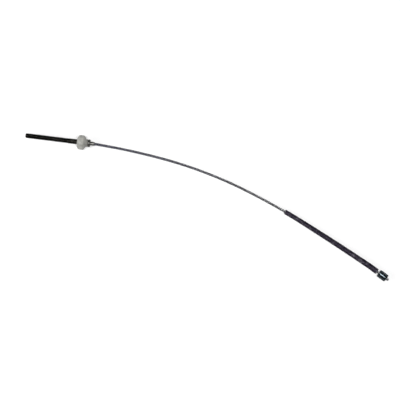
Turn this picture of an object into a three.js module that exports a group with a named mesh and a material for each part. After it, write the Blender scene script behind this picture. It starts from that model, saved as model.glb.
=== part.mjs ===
// A parking brake cable, lying on a bench as it comes to rest. A short bare wire rope is crimped into a
// threaded steel stud at one end and carries a crimped stop at the other. A plastic guide bushing sits on
// the stud, up against its collar, and a close wound coil guard covers the rope ahead of the stop.
// Millimetres, +Z up, the bench at z = 0. X runs along the chord from the stud to the stop, and the cable
// arches towards +Y.

import * as THREE from 'three';

// Room left between pieces that touch on the real cable.
const fit = 0.3;

// Wire rope.
const ropeDiameter = 3.4;
const ropeInStud = 15.9;
const ropeTail = 3.4;

// Threaded stud: rod, collar and the neck that is crimped onto the rope.
const studDiameter = 6.35;
const studReach = 67.4;
const studTipChamfer = 1;
const collarDiameter = 9.7;
const collarLength = 2.3;
const collarChamfer = 0.4;
const neckDiameter = 4.7;
const neckLength = 6;
const neckTaper = 0.2;
const neckTaperLength = 1.2;
const neckFillet = 0.6;
const socketDrillDepth = 1;

// Guide bushing: a thick flange, a steep cone and a short hub.
const flangeDiameter = 18.6;
const flangeRim = 6.1;
const flangeBackDiameter = 13;
const flangeBackDepth = 2;
const flangeFrontDiameter = 17.4;
const flangeFrontDepth = 0.7;
const coneDepth = 2.7;
const hubDiameter = 9.7;
const hubLength = 2.3;
const hubEdge = 0.4;

// Coil guard, wound from round spring wire. Its radius grows a little towards the stop.
const guardWire = 1.1;
const guardPitch = 1.4;
const guardLength = 142;
const guardWidening = 0.65;
const guardToStop = 3.6;

// End stop.
const stopDiameter = 9.9;
const stopLength = 11.5;
const stopChamfer = 0.5;
const stopMouthChamfer = 0.5;

// Facets around each round form, and along the two swept ones.
const roundSides = 32;
const ropeSides = 8;
const ropeSteps = 80;
const wireSides = 5;
const stepsPerTurn = 9;

// The rope's middle line, from its end inside the stud to the tip of its tail. The stud's flange, the
// guard's near end and the stop carry it on the bench, so it stands at their radii there.
const guardRadius = ropeDiameter / 2 + fit + guardWire;
const route = new THREE.CatmullRomCurve3([
  [-181.2, -0.9, flangeDiameter / 2],
  [-173.5, 1.1, flangeDiameter / 2],
  [-165.8, 3.1, flangeDiameter / 2],
  [-155, 5.3, 9.2],
  [-135, 9.3, 8.8],
  [-110, 13.5, 8.1],
  [-85, 17, 7.2],
  [-60, 19.7, 6.3],
  [-35, 21.3, 5.4],
  [-10, 21.8, 4.6],
  [15, 21.3, 3.9],
  [40, 19.6, 3.5],
  [65, 17.1, 3.2],
  [90, 13.8, guardRadius],
  [115, 9.8, 3.3],
  [140, 5.1, 3.5],
  [165, 0.3, 3.8],
  [190, -4.8, 4.1],
  [210, -9, 4.5],
  [225, -12.3, 4.8],
  [235, -14.9, stopDiameter / 2],
  [244.1, -17.4, stopDiameter / 2],
  [253.6, -19.95, stopDiameter / 2],
].map(([x, y, z]) => new THREE.Vector3(x, y, z)));
route.arcLengthDivisions = 1200;
const ropeLength = route.getLength();

// A coil wound round the route between two distances along it, with its radius at each.
class CoilOnRope extends THREE.Curve {
  constructor(from, to, fromRadius, toRadius, pitch) {
    super();
    this.from = from;
    this.span = to - from;
    this.radius = fromRadius;
    this.widening = toRadius - fromRadius;
    this.turns = this.span / pitch;
  }

  getPoint(t, target = new THREE.Vector3()) {
    const u = (this.from + this.span * t) / ropeLength;
    const along = route.getTangentAt(u);
    const side = new THREE.Vector3(0, 0, 1).cross(along).normalize();
    const over = along.clone().cross(side);
    const angle = 2 * Math.PI * this.turns * t;
    const radius = this.radius + this.widening * t;
    return target
      .copy(route.getPointAt(u))
      .addScaledVector(side, radius * Math.cos(angle))
      .addScaledVector(over, radius * Math.sin(angle));
  }
}

// A regular polygon whose corners lie on a circle, as a section to sweep.
function roundSection(radius, sides) {
  const corners = Array.from({ length: sides }, (_, i) => {
    const angle = (2 * Math.PI * i) / sides;
    return new THREE.Vector2(radius * Math.cos(angle), radius * Math.sin(angle));
  });
  return new THREE.Shape(corners);
}

function sweep(section, path, steps) {
  return new THREE.ExtrudeGeometry(section, { extrudePath: path, steps });
}

function turn(profile) {
  return new THREE.LatheGeometry(profile.map(([r, y]) => new THREE.Vector2(r, y)), roundSides);
}

function piece(name, geometry, color, roughness, metalness) {
  const mesh = new THREE.Mesh(geometry, new THREE.MeshStandardMaterial({ color, roughness, metalness }));
  mesh.name = name;
  return mesh;
}

// Turned pieces stand on a local Y that points along the rope towards the stop. Their group puts it on
// the route, at a distance from the rope's start.
function onRope(distance, direction, ...meshes) {
  const holder = new THREE.Group();
  holder.position.copy(route.getPointAt(distance / ropeLength));
  holder.quaternion.setFromUnitVectors(new THREE.Vector3(0, 1, 0), direction);
  holder.add(...meshes);
  return holder;
}

// Places along the stud's axis, from the rope's start.
const neckMouth = ropeInStud;
const collarFront = neckMouth - neckLength;
const collarBack = collarFront - collarLength;
const hubEnd = collarBack - fit;
const coneStart = hubEnd - hubLength - coneDepth;
const rimStart = coneStart - flangeFrontDepth - flangeRim;
const flangeBack = rimStart - flangeBackDepth;
const studTip = flangeBack - studReach;

function threadedStud() {
  const rod = studDiameter / 2;
  const collar = collarDiameter / 2;
  const neck = neckDiameter / 2;
  const socket = ropeDiameter / 2 + fit;
  return piece('threaded_stud', turn([
    [0, -fit - socketDrillDepth],
    [0, studTip],
    [rod - studTipChamfer, studTip],
    [rod, studTip + studTipChamfer],
    [rod, collarBack],
    [collar - collarChamfer, collarBack],
    [collar, collarBack + collarChamfer],
    [collar, collarFront - collarChamfer],
    [collar - collarChamfer, collarFront],
    [neck + neckFillet, collarFront],
    [neck, collarFront + neckFillet],
    [neck, neckMouth - neckTaperLength],
    [neck - neckTaper, neckMouth],
    [socket, neckMouth],
    [socket, -fit],
    [0, -fit - socketDrillDepth],
  ]), 0x1a1916, 0.42, 0.85);
}

function guideBushing() {
  const bore = studDiameter / 2 + fit;
  const flange = flangeDiameter / 2;
  const hub = hubDiameter / 2;
  return piece('guide_bushing', turn([
    [bore, flangeBack],
    [flangeBackDiameter / 2, flangeBack],
    [flange, rimStart],
    [flange, rimStart + flangeRim],
    [flangeFrontDiameter / 2, coneStart],
    [hub, coneStart + coneDepth],
    [hub, hubEnd - hubEdge],
    [hub - hubEdge, hubEnd],
    [bore, hubEnd],
    [bore, flangeBack],
  ]), 0xb4b2a9, 0.75, 0);
}

function endStop() {
  const body = stopDiameter / 2;
  const bore = ropeDiameter / 2 + fit;
  return piece('end_stop', turn([
    [bore, stopMouthChamfer],
    [bore + stopMouthChamfer, 0],
    [body - stopChamfer, 0],
    [body, stopChamfer],
    [body, stopLength - stopChamfer],
    [body - stopChamfer, stopLength],
    [bore + stopMouthChamfer, stopLength],
    [bore, stopLength - stopMouthChamfer],
    [bore, stopMouthChamfer],
  ]), 0x6f7c87, 0.22, 1);
}

function wireRope() {
  const section = roundSection(ropeDiameter / 2, ropeSides);
  return piece('wire_rope', sweep(section, route, ropeSteps), 0x83838c, 0.4, 0.9);
}

function coilGuard(far) {
  const near = guardRadius - guardWire / 2;
  const coil = new CoilOnRope(far - guardLength, far, near, near + guardWidening, guardPitch);
  const steps = Math.round(coil.turns * stepsPerTurn);
  coil.arcLengthDivisions = 4 * steps;
  return piece('coil_guard', sweep(roundSection(guardWire / 2, wireSides), coil, steps), 0x2b2834, 0.4, 0.8);
}

// Places along the rope from its start, at the stop's end.
const stopBack = ropeLength - ropeTail - stopLength;
const guardFar = stopBack - guardToStop;

const cable = new THREE.Group();
cable.add(onRope(0, route.getTangentAt(0), threadedStud(), guideBushing()));
cable.add(wireRope());
cable.add(coilGuard(guardFar));
cable.add(onRope(stopBack, route.getTangentAt((stopBack + stopLength / 2) / ropeLength), endStop()));

export default cable;
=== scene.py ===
# A parking brake cable lying on a white table, seen from straight above. After the camera come its pieces,
# in the order they are put together: rope, stud, bushing, coil guard and stop. The table and the lights
# come last. Lengths are in metres.

import bisect
import math

import bpy
from mathutils import Matrix, Vector


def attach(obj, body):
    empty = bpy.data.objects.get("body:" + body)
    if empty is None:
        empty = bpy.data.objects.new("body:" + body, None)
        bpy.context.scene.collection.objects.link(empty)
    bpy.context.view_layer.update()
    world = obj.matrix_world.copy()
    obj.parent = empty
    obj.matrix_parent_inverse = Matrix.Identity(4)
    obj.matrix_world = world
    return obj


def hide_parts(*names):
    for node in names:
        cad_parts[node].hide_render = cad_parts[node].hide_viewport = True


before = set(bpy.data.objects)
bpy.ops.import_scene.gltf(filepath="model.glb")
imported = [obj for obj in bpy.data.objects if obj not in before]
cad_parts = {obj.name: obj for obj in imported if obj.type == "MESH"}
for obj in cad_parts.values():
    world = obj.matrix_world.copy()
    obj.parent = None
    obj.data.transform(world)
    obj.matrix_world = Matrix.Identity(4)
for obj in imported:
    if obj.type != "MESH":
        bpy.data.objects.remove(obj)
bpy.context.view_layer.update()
bpy.ops.object.select_all(action="DESELECT")

# Camera. It hangs over the middle of the cable and looks straight down. The picture is turned so that the
# chord of the cable runs down to the right.
PICTURE_WIDTH = 0.5216
PICTURE_TURN = math.radians(21.7)
LENS = 100
CAMERA_X, CAMERA_Y = -0.0121, -0.0138

bpy.ops.object.camera_add(rotation=(0, 0, PICTURE_TURN))
camera = bpy.context.object
camera.data.lens = LENS
camera.location = (CAMERA_X, CAMERA_Y, PICTURE_WIDTH * LENS / camera.data.sensor_width)
bpy.context.scene.camera = camera
bpy.ops.object.select_all(action="DESELECT")

# Wire rope. Six strands of seven galvanized wires are laid round a seventh strand, 3.4 mm over all. One end
# is crimped into the stud, and the other passes through the stop and ends in a short cut tail. Its colour is
# drawn darker and bluer near the stud, fading out towards the guard.
ROUTE = [
    (-0.1812, -0.0009, 0.0093),
    (-0.1735, 0.0011, 0.0093),
    (-0.1658, 0.0031, 0.0093),
    (-0.155, 0.0053, 0.0092),
    (-0.135, 0.0093, 0.0088),
    (-0.110, 0.0135, 0.0081),
    (-0.085, 0.0170, 0.0072),
    (-0.060, 0.0197, 0.0063),
    (-0.035, 0.0213, 0.0054),
    (-0.010, 0.0218, 0.0046),
    (0.015, 0.0213, 0.0039),
    (0.040, 0.0196, 0.0035),
    (0.065, 0.0171, 0.0032),
    (0.090, 0.0138, 0.0031),
    (0.115, 0.0098, 0.0033),
    (0.140, 0.0051, 0.0035),
    (0.165, 0.0003, 0.0038),
    (0.190, -0.0048, 0.0041),
    (0.210, -0.0090, 0.0045),
    (0.225, -0.0123, 0.0048),
    (0.235, -0.0149, 0.00495),
    (0.2441, -0.0174, 0.00495),
    (0.2536, -0.01995, 0.00495),
]
ROUTE_STEPS = 40
TANGENT_REACH = 0.0006
ROPE_DIAMETER = 0.0034
ROPE_IN_STUD = 0.0159
ROPE_LAY = 0.021
STRAND_DIAMETER = ROPE_DIAMETER / 3
STRAND_LAY = 0.0085
WIRE_DIAMETER = STRAND_DIAMETER / 3
OUTER_STRANDS = 6
OUTER_WIRES = 6
ROPE_STATIONS = 385
TAIL_SHOWN = 0.006
TAIL_STATIONS = 6
WIRE_SMOOTHING = math.radians(62)
ROPE_GREY = (0.25, 0.25, 0.26)
ROPE_DARK, ROPE_BRIGHT = 0.62, 1.25
# The rope's colour is multiplied by this tint near the stud, fading out between these two X positions.
STUD_END_TINT = (0.62, 0.62, 0.72, 1)
DARKENING_START, DARKENING_END = -0.14, 0.08


def between(p0, p1, p2, p3, t):
    """A point on the smooth line from p1 to p2, whose neighbours are p0 and p3."""
    k0, k1, k2 = ((b - a).length ** 0.5 for a, b in ((p0, p1), (p1, p2), (p2, p3)))
    m1 = ((p1 - p0) / k0 - (p2 - p0) / (k0 + k1) + (p2 - p1) / k1) * k1
    m2 = ((p2 - p1) / k1 - (p3 - p1) / (k1 + k2) + (p3 - p2) / k2) * k1
    near, far = 2 * t**3 - 3 * t**2 + 1, 3 * t**2 - 2 * t**3
    return near * p1 + (t**3 - 2 * t**2 + t) * m1 + far * p2 + (t**3 - t**2) * m2


def smooth_line(points):
    """The route as many short straight steps."""
    points = [Vector(p) for p in points]
    points = [2 * points[0] - points[1], *points, 2 * points[-1] - points[-2]]
    line = [points[1]]
    for p0, p1, p2, p3 in zip(points, points[1:], points[2:], points[3:]):
        line += [between(p0, p1, p2, p3, i / ROUTE_STEPS) for i in range(1, ROUTE_STEPS + 1)]
    return line


rope_line = smooth_line(ROUTE)
rope_marks = [0.0]
for a, b in zip(rope_line, rope_line[1:]):
    rope_marks.append(rope_marks[-1] + (b - a).length)
rope_length = rope_marks[-1]


def rope_point(distance):
    """The middle of the rope at a distance from its start."""
    distance = min(max(distance, 0.0), rope_length)
    i = min(max(bisect.bisect_right(rope_marks, distance), 1), len(rope_marks) - 1)
    share = (distance - rope_marks[i - 1]) / (rope_marks[i] - rope_marks[i - 1])
    return rope_line[i - 1].lerp(rope_line[i], share)


def rope_frame(distance):
    """The rope's middle there, its direction, and the two directions across it."""
    point = rope_point(distance)
    before, after = rope_point(distance - TANGENT_REACH), rope_point(distance + TANGENT_REACH)
    along = (after - before).normalized()
    side = Vector((0, 0, 1)).cross(along).normalized()
    return point, along, side, along.cross(side)


def strand_run(start, end, stations, first_angle, ring, wire_ring, wire_angle):
    """One wire's line: round its strand, while the strand goes round the rope."""
    lead = math.atan(2 * math.pi * ring / ROPE_LAY)
    run = []
    for i in range(stations + 1):
        distance = start + (end - start) * i / stations
        point, along, side, over = rope_frame(distance)
        a = first_angle + 2 * math.pi * distance / ROPE_LAY
        out = side * math.cos(a) + over * math.sin(a)
        around = over * math.cos(a) - side * math.sin(a)
        across = around * math.cos(lead) - along * math.sin(lead)
        b = wire_angle - 2 * math.pi * distance / STRAND_LAY
        run.append(point + out * ring + (out * math.cos(b) + across * math.sin(b)) * wire_ring)
    return run


def drawn_wires(name, runs, diameter, roundness):
    """Round wires of one diameter along these lines, as one mesh."""
    curve = bpy.data.curves.new(name, "CURVE")
    curve.dimensions = "3D"
    curve.bevel_depth = diameter / 2
    curve.bevel_resolution = roundness
    curve.use_fill_caps = True
    for run in runs:
        spline = curve.splines.new("POLY")
        spline.points.add(len(run) - 1)
        for point, place in zip(spline.points, run):
            point.co = (*place, 1)
    wire = bpy.data.objects.new(name, curve)
    bpy.context.collection.objects.link(wire)
    bpy.context.view_layer.objects.active = wire
    wire.select_set(True)
    bpy.ops.object.convert(target="MESH")
    bpy.ops.object.shade_smooth_by_angle(angle=WIRE_SMOOTHING)
    bpy.ops.object.select_all(action="DESELECT")
    return bpy.context.view_layer.objects.active


def blank_finish(name, colour, metallic, roughness):
    """A material with one shader, its nodes and the means to link them. Its colour and roughness are the
    plain ones, which a noise may vary. Metal has dark edges, as drawn, blacked and oiled steel does."""
    material = bpy.data.materials.new(name)
    material.use_nodes = True
    nodes, links = material.node_tree.nodes, material.node_tree.links
    shader = nodes["Principled BSDF"]
    shader.inputs["Base Color"].default_value = (*colour, 1)
    shader.inputs["Metallic"].default_value = metallic
    if metallic:
        shader.inputs["Specular Tint"].default_value = (0, 0, 0, 1)
    shader.inputs["Roughness"].default_value = roughness
    return material, nodes, links, shader


def mottle(nodes, links, scale, detail, stretch=(1, 1, 1), turn=0.0):
    """A noise over the piece's own coordinates, drawn out along a direction in the plan."""
    place = nodes.new("ShaderNodeTexCoord")
    mapping = nodes.new("ShaderNodeMapping")
    mapping.inputs["Rotation"].default_value = (0, 0, turn)
    mapping.inputs["Scale"].default_value = stretch
    noise = nodes.new("ShaderNodeTexNoise")
    noise.inputs["Scale"].default_value = scale
    noise.inputs["Detail"].default_value = detail
    links.new(place.outputs["Object"], mapping.inputs["Vector"])
    links.new(mapping.outputs["Vector"], noise.inputs["Vector"])
    return noise


def shade_between(nodes, links, source, low, high, stops=(0.35, 0.65)):
    """Turns a noise into a colour between two shades."""
    ramp = nodes.new("ShaderNodeValToRGB")
    for element, stop, colour in zip(ramp.color_ramp.elements, stops, (low, high)):
        element.position = stop
        element.color = (*colour, 1)
    links.new(source, ramp.inputs["Fac"])
    return ramp.outputs["Color"]


def value_between(nodes, links, source, low, high, stops=(0.3, 0.7)):
    """Turns a noise into a number between two values."""
    spread = nodes.new("ShaderNodeMapRange")
    spread.inputs["From Min"].default_value = stops[0]
    spread.inputs["From Max"].default_value = stops[1]
    spread.inputs["To Min"].default_value = low
    spread.inputs["To Max"].default_value = high
    links.new(source, spread.inputs["Value"])
    return spread.outputs["Result"]


def darker_towards_stud(nodes, links):
    """1 by the stud, where the rope's colour is drawn darker, falling to 0 towards the guard."""
    place = nodes.new("ShaderNodeTexCoord")
    axes = nodes.new("ShaderNodeSeparateXYZ")
    fall = nodes.new("ShaderNodeMapRange")
    fall.inputs["From Min"].default_value = DARKENING_START
    fall.inputs["From Max"].default_value = DARKENING_END
    fall.inputs["To Min"].default_value = 1.0
    fall.inputs["To Max"].default_value = 0.0
    links.new(place.outputs["Object"], axes.inputs["Vector"])
    links.new(axes.outputs["X"], fall.inputs["Value"])
    return fall.outputs["Result"]


def rope_finish():
    material, nodes, links, shader = blank_finish(
        "galvanized_wire", ROPE_GREY, metallic=1.0, roughness=0.36
    )
    grain = mottle(nodes, links, scale=900, detail=3)
    dark = tuple(ROPE_DARK * c for c in ROPE_GREY)
    bright = tuple(ROPE_BRIGHT * c for c in ROPE_GREY)
    shade = shade_between(nodes, links, grain.outputs["Fac"], dark, bright)
    # The colour is drawn darker and bluer towards the stud.
    darkened = nodes.new("ShaderNodeMix")
    darkened.data_type = "RGBA"
    darkened.blend_type = "MULTIPLY"
    darkened.inputs["B"].default_value = STUD_END_TINT
    links.new(darker_towards_stud(nodes, links), darkened.inputs["Factor"])
    links.new(shade, darkened.inputs["A"])
    links.new(darkened.outputs["Result"], shader.inputs["Base Color"])
    dull = value_between(nodes, links, grain.outputs["Fac"], low=0.3, high=0.46)
    links.new(dull, shader.inputs["Roughness"])
    return material


strand_ring = (ROPE_DIAMETER - STRAND_DIAMETER) / 2
strand_turns = [2 * math.pi * k / OUTER_STRANDS for k in range(OUTER_STRANDS)]
wire_turns = [2 * math.pi * k / OUTER_WIRES for k in range(OUTER_WIRES)]
rope_runs = [
    strand_run(0.0, rope_length, ROPE_STATIONS, a, strand_ring, WIRE_DIAMETER, b)
    for a in strand_turns
    for b in wire_turns
]
# The strands' middle wires and the middle strand show only at the cut end, so they are drawn only there.
tail = (rope_length - TAIL_SHOWN, rope_length, TAIL_STATIONS)
rope_runs += [strand_run(*tail, a, strand_ring, 0, 0) for a in strand_turns]
rope_runs += [strand_run(*tail, 0, 0, WIRE_DIAMETER, b) for b in wire_turns]
rope_runs += [strand_run(*tail, 0, 0, 0, 0)]
rope = drawn_wires("laid_rope", rope_runs, WIRE_DIAMETER, roundness=1)
rope.data.materials.append(rope_finish())
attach(rope, "root")
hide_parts("wire_rope")

# Threaded stud. It is turned from steel bar and blacked. Its thread is rolled from the tip to a plain shank,
# its collar stops the bushing, and the bored neck past the collar is crimped onto the rope. The blacking is
# worn in streaks along it.
STUD_RADIUS = 0.003175
STUD_LENGTH = 0.0898
THREAD_LENGTH = 0.0565
THREAD_PITCH = 0.000907
THREAD_DEPTH = 0.00052
THREAD_STEPS = 40
TIP_CHAMFER = 0.001
RUN_OUT = 0.0012
SHANK_OVERLAP = 0.0001
COLLAR_RADIUS = 0.00485
COLLAR_LENGTH = 0.0023
COLLAR_EDGE = 0.0004
NECK_RADIUS = 0.00235
NECK_LENGTH = 0.006
NECK_MOUTH_RADIUS = 0.00215
NECK_TAPER_LENGTH = 0.0012
NECK_FILLET = 0.0006
SOCKET_RADIUS = 0.002
SOCKET_DEPTH = 0.0162
MERGE_DISTANCE = 1e-6
CUT_DISTANCE = 1e-7
THREAD_SMOOTHING = math.radians(25)
TURNED_SMOOTHING = math.radians(32)
CRIMP_FADE = 0.0004
BLACK_STEEL = (0.012, 0.0115, 0.0098)
WORN_STEEL = (0.16, 0.156, 0.144)
CRIMPED_STEEL = (0.11, 0.108, 0.102)


def select_only(piece):
    bpy.ops.object.select_all(action="DESELECT")
    piece.select_set(True)
    bpy.context.view_layer.objects.active = piece


def turned(name, profile, sides, closed):
    """A round form about Z: a circle, drawn out loop by loop through (radius, height). A closed profile
    ends where it starts, and any other has both its end circles filled."""
    radius, height = profile[0]
    bpy.ops.mesh.primitive_circle_add(vertices=sides, radius=radius, location=(0, 0, height))
    piece = bpy.context.object
    piece.name = name
    bpy.ops.object.transform_apply(location=True, rotation=True, scale=True)
    bpy.ops.object.mode_set(mode="EDIT")
    bpy.ops.mesh.select_all(action="SELECT")
    if not closed:
        bpy.ops.mesh.edge_face_add()
        bpy.ops.mesh.select_mode(type="EDGE")
    for next_radius, next_height in profile[1:]:
        rise = {"value": (0, 0, next_height - height)}
        bpy.ops.mesh.extrude_region_move(TRANSFORM_OT_translate=rise)
        grow = next_radius / radius
        bpy.ops.transform.resize(value=(grow, grow, 1), center_override=(0, 0, next_height))
        radius, height = next_radius, next_height
    bpy.ops.mesh.select_all(action="SELECT")
    bpy.ops.mesh.remove_doubles(threshold=MERGE_DISTANCE)
    bpy.ops.mesh.normals_make_consistent(inside=False)
    bpy.ops.object.mode_set(mode="OBJECT")
    return piece


def soften(piece, width, segments, angle=25):
    """Rounds the edges that a turned or moulded piece would not have sharp."""
    select_only(piece)
    bevel = piece.modifiers.new("edges", "BEVEL")
    bevel.width = width
    bevel.segments = segments
    bevel.limit_method = "ANGLE"
    bevel.angle_limit = math.radians(angle)
    bpy.ops.object.modifier_apply(modifier=bevel.name)
    bpy.ops.object.mode_set(mode="EDIT")
    bpy.ops.mesh.select_all(action="SELECT")
    bpy.ops.mesh.remove_doubles(threshold=MERGE_DISTANCE)
    bpy.ops.object.mode_set(mode="OBJECT")
    bpy.ops.object.shade_smooth_by_angle(angle=TURNED_SMOOTHING)


def lay_along(piece, point, along):
    """Puts a piece made about Z on the rope's line, and takes the place into its mesh."""
    side = Vector((0, 0, 1)).cross(along).normalized()
    axes = Matrix((side, along.cross(side), along)).transposed().to_4x4()
    piece.matrix_world = Matrix.Translation(point) @ axes
    select_only(piece)
    bpy.ops.object.transform_apply(location=True, rotation=True, scale=True)


stud_along = (Vector(ROUTE[1]) - Vector(ROUTE[0])).normalized()
neck_mouth = Vector(ROUTE[0]) + stud_along * ROPE_IN_STUD
stud_tip = neck_mouth - stud_along * STUD_LENGTH


def rolled_thread():
    """The threaded length: one tooth's outline, screwed up the bar and cut off square at both ends. It
    starts a little more than a turn below the tip, so that neither cut goes through a corner."""
    turns = math.ceil(THREAD_LENGTH / THREAD_PITCH) + 2
    root = STUD_RADIUS - THREAD_DEPTH
    start = -1.01 * THREAD_PITCH
    bpy.ops.mesh.primitive_plane_add(size=THREAD_DEPTH, location=(root, 0, start))
    thread = bpy.context.object
    thread.name = "thread"
    bpy.ops.object.mode_set(mode="EDIT")
    bpy.ops.mesh.select_all(action="SELECT")
    bpy.ops.mesh.merge(type="CENTER")
    flank, flat = 0.375 * THREAD_PITCH, 0.125 * THREAD_PITCH
    for out, up in ((THREAD_DEPTH, flank), (0, flat), (-THREAD_DEPTH, flank), (0, flat)):
        bpy.ops.mesh.extrude_region_move(TRANSFORM_OT_translate={"value": (out, 0, up)})
    bpy.ops.object.mode_set(mode="OBJECT")
    bpy.ops.object.transform_apply(location=True, rotation=True, scale=True)
    screw = thread.modifiers.new("screw", "SCREW")
    screw.axis = "Z"
    screw.angle = 2 * math.pi
    screw.screw_offset = THREAD_PITCH
    screw.iterations = turns
    screw.steps = screw.render_steps = THREAD_STEPS
    bpy.ops.object.modifier_apply(modifier=screw.name)
    bpy.ops.object.mode_set(mode="EDIT")
    bpy.ops.mesh.select_all(action="SELECT")
    bpy.ops.mesh.remove_doubles(threshold=MERGE_DISTANCE)
    for height, normal in ((0.0, -1), (THREAD_LENGTH, 1)):
        bpy.ops.mesh.select_all(action="SELECT")
        bpy.ops.mesh.bisect(
            plane_co=(0, 0, height),
            plane_no=(0, 0, normal),
            use_fill=True,
            clear_outer=True,
            threshold=CUT_DISTANCE,
        )
    bpy.ops.mesh.select_all(action="SELECT")
    bpy.ops.mesh.normals_make_consistent(inside=False)
    bpy.ops.object.mode_set(mode="OBJECT")
    # The tip gets its chamfer, and the last groove fills up towards the shank.
    for vertex in thread.data.vertices:
        x, y, height = vertex.co
        radius = math.hypot(x, y)
        chamfered = STUD_RADIUS - max(TIP_CHAMFER - height, 0)
        filled = STUD_RADIUS - THREAD_DEPTH * min((THREAD_LENGTH - height) / RUN_OUT, 1)
        keep = min(max(radius, filled), chamfered) / radius
        vertex.co = (x * keep, y * keep, height)
    return thread


def turned_shank():
    """Everything behind the thread, with the rope's socket in the neck."""
    collar_front = STUD_LENGTH - NECK_LENGTH
    collar_back = collar_front - COLLAR_LENGTH
    profile = [
        (STUD_RADIUS, THREAD_LENGTH - SHANK_OVERLAP),
        (STUD_RADIUS, collar_back),
        (COLLAR_RADIUS - COLLAR_EDGE, collar_back),
        (COLLAR_RADIUS, collar_back + COLLAR_EDGE),
        (COLLAR_RADIUS, collar_front - COLLAR_EDGE),
        (COLLAR_RADIUS - COLLAR_EDGE, collar_front),
        (NECK_RADIUS + NECK_FILLET, collar_front),
        (NECK_RADIUS, collar_front + NECK_FILLET),
        (NECK_RADIUS, STUD_LENGTH - NECK_TAPER_LENGTH),
        (NECK_MOUTH_RADIUS, STUD_LENGTH),
        (SOCKET_RADIUS, STUD_LENGTH),
        (SOCKET_RADIUS, STUD_LENGTH - SOCKET_DEPTH),
    ]
    shank = turned("shank", profile, sides=64, closed=False)
    soften(shank, width=0.00018, segments=3)
    return shank


# The turn in the plan that lays the stud's direction along X, for patterns that follow it.
stud_turn = -math.atan2(stud_along.y, stud_along.x)


def along_stud(nodes, links, start, end):
    """0 before a distance from the stud's tip, rising to 1 at a second distance."""
    place = nodes.new("ShaderNodeTexCoord")
    mapping = nodes.new("ShaderNodeMapping")
    mapping.inputs["Rotation"].default_value = (0, 0, stud_turn)
    mapping.inputs["Location"].default_value = (-stud_tip.dot(stud_along), 0, 0)
    axes = nodes.new("ShaderNodeSeparateXYZ")
    rise = nodes.new("ShaderNodeMapRange")
    rise.inputs["From Min"].default_value = start
    rise.inputs["From Max"].default_value = end
    links.new(place.outputs["Object"], mapping.inputs["Vector"])
    links.new(mapping.outputs["Vector"], axes.inputs["Vector"])
    links.new(axes.outputs["X"], rise.inputs["Value"])
    return rise.outputs["Result"]


def blend_shades(nodes, links, factor, low, high):
    """One colour passing into another, where low is a node's output and high a plain shade."""
    blend = nodes.new("ShaderNodeMix")
    blend.data_type = "RGBA"
    blend.inputs["B"].default_value = (*high, 1)
    links.new(factor, blend.inputs["Factor"])
    links.new(low, blend.inputs["A"])
    return blend.outputs["Result"]


def blacked_steel():
    material, nodes, links, shader = blank_finish(
        "blacked_steel", BLACK_STEEL, metallic=1.0, roughness=0.4
    )
    grain = mottle(nodes, links, scale=1300, detail=3, stretch=(0.14, 1, 1), turn=stud_turn)
    worn = shade_between(
        nodes, links, grain.outputs["Fac"], BLACK_STEEL, WORN_STEEL, stops=(0.5, 0.78)
    )
    collar_back = STUD_LENGTH - NECK_LENGTH - COLLAR_LENGTH
    past_collar = along_stud(nodes, links, collar_back - CRIMP_FADE, collar_back + CRIMP_FADE)
    shade = blend_shades(nodes, links, past_collar, worn, CRIMPED_STEEL)
    links.new(shade, shader.inputs["Base Color"])
    dull = value_between(nodes, links, grain.outputs["Fac"], low=0.3, high=0.45)
    links.new(dull, shader.inputs["Roughness"])
    return material


thread = rolled_thread()
shank = turned_shank()
select_only(thread)
bpy.ops.object.shade_smooth_by_angle(angle=THREAD_SMOOTHING)
shank.select_set(True)
bpy.ops.object.join()
stud = bpy.context.object
stud.name = "blacked_stud"
lay_along(stud, stud_tip, stud_along)
stud.data.materials.append(blacked_steel())
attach(stud, "root")
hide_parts("threaded_stud")
bpy.ops.object.select_all(action="DESELECT")

# Guide bushing. It is moulded from natural nylon, matte and a little grey: a thick flange with sloped
# corners, a cone and a short hub. Its colour is drawn darker over the half towards the hub. It is slid
# onto the stud, up to the collar.
BUSHING_LENGTH = 0.0138
BUSHING_GAP = 0.0003
BORE_RADIUS = 0.003475
BACK_RADIUS = 0.0065
BACK_DEPTH = 0.002
FLANGE_RADIUS = 0.0093
RIM_DEPTH = 0.0061
FRONT_RADIUS = 0.0087
FRONT_DEPTH = 0.0007
CONE_DEPTH = 0.0027
HUB_RADIUS = 0.00485
HUB_EDGE = 0.0004
NYLON_SHADE = (0.28, 0.278, 0.256)
NYLON_LIGHT = (0.41, 0.407, 0.378)
HUB_END_NYLON = (0.18, 0.178, 0.164)
DARKENED_SHARE = 0.5

hub_end = STUD_LENGTH - NECK_LENGTH - COLLAR_LENGTH - BUSHING_GAP
cone_start = BACK_DEPTH + RIM_DEPTH + FRONT_DEPTH


def moulded_nylon():
    material, nodes, links, shader = blank_finish(
        "natural_nylon", NYLON_LIGHT, metallic=0.0, roughness=0.62
    )
    clouds = mottle(nodes, links, scale=260, detail=3)
    mottled_nylon = shade_between(nodes, links, clouds.outputs["Fac"], NYLON_SHADE, NYLON_LIGHT)
    # The colour is drawn darker over the half of the bushing towards the hub end.
    towards_hub = along_stud(nodes, links, hub_end - DARKENED_SHARE * BUSHING_LENGTH, hub_end)
    shade = blend_shades(nodes, links, towards_hub, mottled_nylon, HUB_END_NYLON)
    links.new(shade, shader.inputs["Base Color"])
    shader.inputs["Subsurface Weight"].default_value = 0.12
    shader.inputs["Subsurface Radius"].default_value = (0.0012, 0.0011, 0.0009)
    pores = mottle(nodes, links, scale=2400, detail=2)
    bump = nodes.new("ShaderNodeBump")
    bump.inputs["Strength"].default_value = 0.25
    bump.inputs["Distance"].default_value = 0.0002
    links.new(pores.outputs["Fac"], bump.inputs["Height"])
    links.new(bump.outputs["Normal"], shader.inputs["Normal"])
    return material


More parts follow.
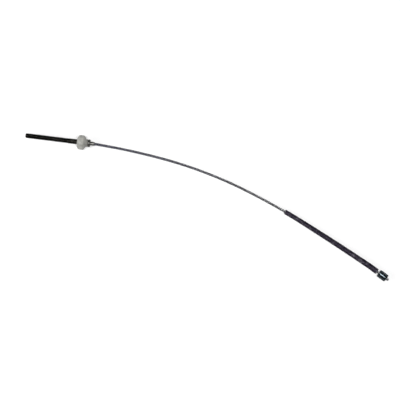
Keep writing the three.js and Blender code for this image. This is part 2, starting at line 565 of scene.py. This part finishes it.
bushing = turned("nylon_bushing", [
    (BORE_RADIUS, 0.0),
    (BACK_RADIUS, 0.0),
    (FLANGE_RADIUS, BACK_DEPTH),
    (FLANGE_RADIUS, BACK_DEPTH + RIM_DEPTH),
    (FRONT_RADIUS, cone_start),
    (HUB_RADIUS, cone_start + CONE_DEPTH),
    (HUB_RADIUS, BUSHING_LENGTH - HUB_EDGE),
    (HUB_RADIUS - HUB_EDGE, BUSHING_LENGTH),
    (BORE_RADIUS, BUSHING_LENGTH),
    (BORE_RADIUS, 0.0),
], sides=72, closed=True)
soften(bushing, width=0.0004, segments=4, angle=18)
lay_along(bushing, stud_tip + stud_along * (hub_end - BUSHING_LENGTH), stud_along)
bushing.data.materials.append(moulded_nylon())
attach(bushing, "root")
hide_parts("guide_bushing")
bpy.ops.object.select_all(action="DESELECT")

# Coil guard. Round spring wire is wound close round the rope, a little wider towards the stop, and coated
# black. It is loose on the rope, and its ends are cut off square.
GUARD_WIRE = 0.0011
GUARD_PITCH = 0.00115
GUARD_LENGTH = 0.142
GUARD_TO_STOP = 0.0036
GUARD_RING = 0.00255
GUARD_WIDENING = 0.00065
GUARD_STEPS = 24
STOP_LENGTH = 0.0115
ROPE_TAIL = 0.0034
GUARD_BLACK = (0.055, 0.047, 0.070)
GUARD_RUBBED = (0.19, 0.175, 0.21)


def guard_run(start, end):
    """The middle line of the guard's wire."""
    turns = (end - start) / GUARD_PITCH
    count = round(turns * GUARD_STEPS)
    run = []
    for i in range(count + 1):
        point, _, side, over = rope_frame(start + (end - start) * i / count)
        angle = 2 * math.pi * turns * i / count
        ring = GUARD_RING + GUARD_WIDENING * i / count
        run.append(point + (side * math.cos(angle) + over * math.sin(angle)) * ring)
    return run


def black_coat():
    material, nodes, links, shader = blank_finish(
        "black_coated_wire", GUARD_BLACK, metallic=1.0, roughness=0.34
    )
    wear = mottle(nodes, links, scale=190, detail=4)
    shade = shade_between(
        nodes, links, wear.outputs["Fac"], GUARD_BLACK, GUARD_RUBBED, stops=(0.48, 0.72)
    )
    links.new(shade, shader.inputs["Base Color"])
    dull = value_between(nodes, links, wear.outputs["Fac"], low=0.3, high=0.5)
    links.new(dull, shader.inputs["Roughness"])
    return material


stop_back = rope_length - ROPE_TAIL - STOP_LENGTH
guard_end = stop_back - GUARD_TO_STOP
guard_runs = [guard_run(guard_end - GUARD_LENGTH, guard_end)]
guard = drawn_wires("wound_guard", guard_runs, GUARD_WIRE, roundness=3)
guard.data.materials.append(black_coat())
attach(guard, "root")
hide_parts("coil_guard")

# End stop. It is a turned steel cylinder, bored, plated dark and bright, and crimped onto the rope near its
# end. The rope's tail stands out of its far face.
STOP_RADIUS = 0.00495
STOP_EDGE = 0.0005
STOP_BORE = 0.002
STOP_MOUTH = 0.0005
STOP_PLATE = (0.060, 0.074, 0.083)


def bright_plate():
    material, nodes, links, shader = blank_finish(
        "bright_dark_plate", STOP_PLATE, metallic=1.0, roughness=0.18
    )
    grain = mottle(nodes, links, scale=300, detail=2)
    dull = value_between(nodes, links, grain.outputs["Fac"], low=0.13, high=0.18)
    links.new(dull, shader.inputs["Roughness"])
    return material


stop = turned("plated_stop", [
    (STOP_BORE, STOP_MOUTH),
    (STOP_BORE + STOP_MOUTH, 0.0),
    (STOP_RADIUS - STOP_EDGE, 0.0),
    (STOP_RADIUS, STOP_EDGE),
    (STOP_RADIUS, STOP_LENGTH - STOP_EDGE),
    (STOP_RADIUS - STOP_EDGE, STOP_LENGTH),
    (STOP_BORE + STOP_MOUTH, STOP_LENGTH),
    (STOP_BORE, STOP_LENGTH - STOP_MOUTH),
    (STOP_BORE, STOP_MOUTH),
], sides=72, closed=True)
soften(stop, width=0.0002, segments=3)
_, stop_along, _, _ = rope_frame(stop_back + STOP_LENGTH / 2)
lay_along(stop, rope_point(stop_back), stop_along)
stop.data.materials.append(bright_plate())
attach(stop, "root")
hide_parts("end_stop")
bpy.ops.object.select_all(action="DESELECT")

# The rope leaves the stud's neck, and the stop sits on its far end. Points along its middle are worked out
# here and not kept.
CORD_STEPS = 100
[rope_point(rope_length * i / CORD_STEPS) for i in range(CORD_STEPS + 1)]

# Table and lights. The table is white, the room above it is dim and only its low walls are white, so that
# the steel looks dark with bright lines. A strip lamp hangs over the cable's whole length, and a softbox
# stands low on the near left side.
TABLE_SIZE = 16.0
TABLE_COLOUR = (0.9, 0.9, 0.9)
TABLE_GLOW = 0.1
FAR_GLOW = 0.85
GLOW_START, GLOW_END = 0.5, 2.2
ROOM_LIGHT = 0.15
WALL_TOP, CEILING_START = 0.1, 0.25


def seen_or_mirrored(nodes, links):
    """1 for what the camera sees, directly, in metal or through glass, and 0 for light."""
    path = nodes.new("ShaderNodeLightPath")
    total = path.outputs["Is Camera Ray"]
    for name in ("Is Glossy Ray", "Is Transmission Ray"):
        most = nodes.new("ShaderNodeMath")
        most.operation = "MAXIMUM"
        links.new(total, most.inputs[0])
        links.new(path.outputs[name], most.inputs[1])
        total = most.outputs[0]
    return total


def white_table():
    """White all over, with a glow that makes up for the lamps' light where it thins out."""
    material, nodes, links, shader = blank_finish(
        "white_table", TABLE_COLOUR, metallic=0.0, roughness=0.9
    )
    shader.inputs["Specular IOR Level"].default_value = 0.1
    shader.inputs["Emission Color"].default_value = (1, 1, 1, 1)
    place = nodes.new("ShaderNodeTexCoord")
    reach = nodes.new("ShaderNodeVectorMath")
    reach.operation = "LENGTH"
    level = nodes.new("ShaderNodeMapRange")
    level.interpolation_type = "SMOOTHSTEP"
    level.inputs["From Min"].default_value = GLOW_START
    level.inputs["From Max"].default_value = GLOW_END
    level.inputs["To Min"].default_value = TABLE_GLOW
    level.inputs["To Max"].default_value = FAR_GLOW
    glow = nodes.new("ShaderNodeMath")
    glow.operation = "MULTIPLY"
    links.new(place.outputs["Object"], reach.inputs[0])
    links.new(reach.outputs["Value"], level.inputs["Value"])
    links.new(level.outputs["Result"], glow.inputs[0])
    links.new(seen_or_mirrored(nodes, links), glow.inputs[1])
    links.new(glow.outputs[0], shader.inputs["Emission Strength"])
    return material


bpy.ops.mesh.primitive_plane_add(size=TABLE_SIZE)
table = bpy.context.object
table.name = "table"
table.data.materials.append(white_table())

# The room is white up to the top of its low walls and dim above them.
world = bpy.data.worlds.new("studio")
bpy.context.scene.world = world
world.use_nodes = True
world_nodes, world_links = world.node_tree.nodes, world.node_tree.links
room = world_nodes["Background"]
room.inputs["Color"].default_value = (1, 1, 1, 1)
look = world_nodes.new("ShaderNodeTexCoord")
axes = world_nodes.new("ShaderNodeSeparateXYZ")
room_level = world_nodes.new("ShaderNodeMapRange")
room_level.inputs["From Min"].default_value = WALL_TOP
room_level.inputs["From Max"].default_value = CEILING_START
room_level.inputs["To Min"].default_value = 1.0
room_level.inputs["To Max"].default_value = ROOM_LIGHT
world_links.new(look.outputs["Generated"], axes.inputs["Vector"])
world_links.new(axes.outputs["Z"], room_level.inputs["Value"])
world_links.new(room_level.outputs["Result"], room.inputs["Strength"])


def softbox(name, place, length, width, power):
    """A lamp that faces the cable's middle, with its length level."""
    bpy.ops.object.light_add(type="AREA", location=place)
    lamp = bpy.context.object
    lamp.name = name
    lamp.data.shape = "RECTANGLE"
    lamp.data.size, lamp.data.size_y = length, width
    lamp.data.energy = power
    lamp.rotation_euler = (-Vector(place)).to_track_quat("-Z", "Y").to_euler()


softbox("strip", (0, 0, 3.0), length=2.0, width=0.42, power=78)
softbox("near_left", (-1.4, -0.8, 0.9), length=0.8, width=0.8, power=9)

scene = bpy.context.scene
scene.view_settings.view_transform = "Standard"
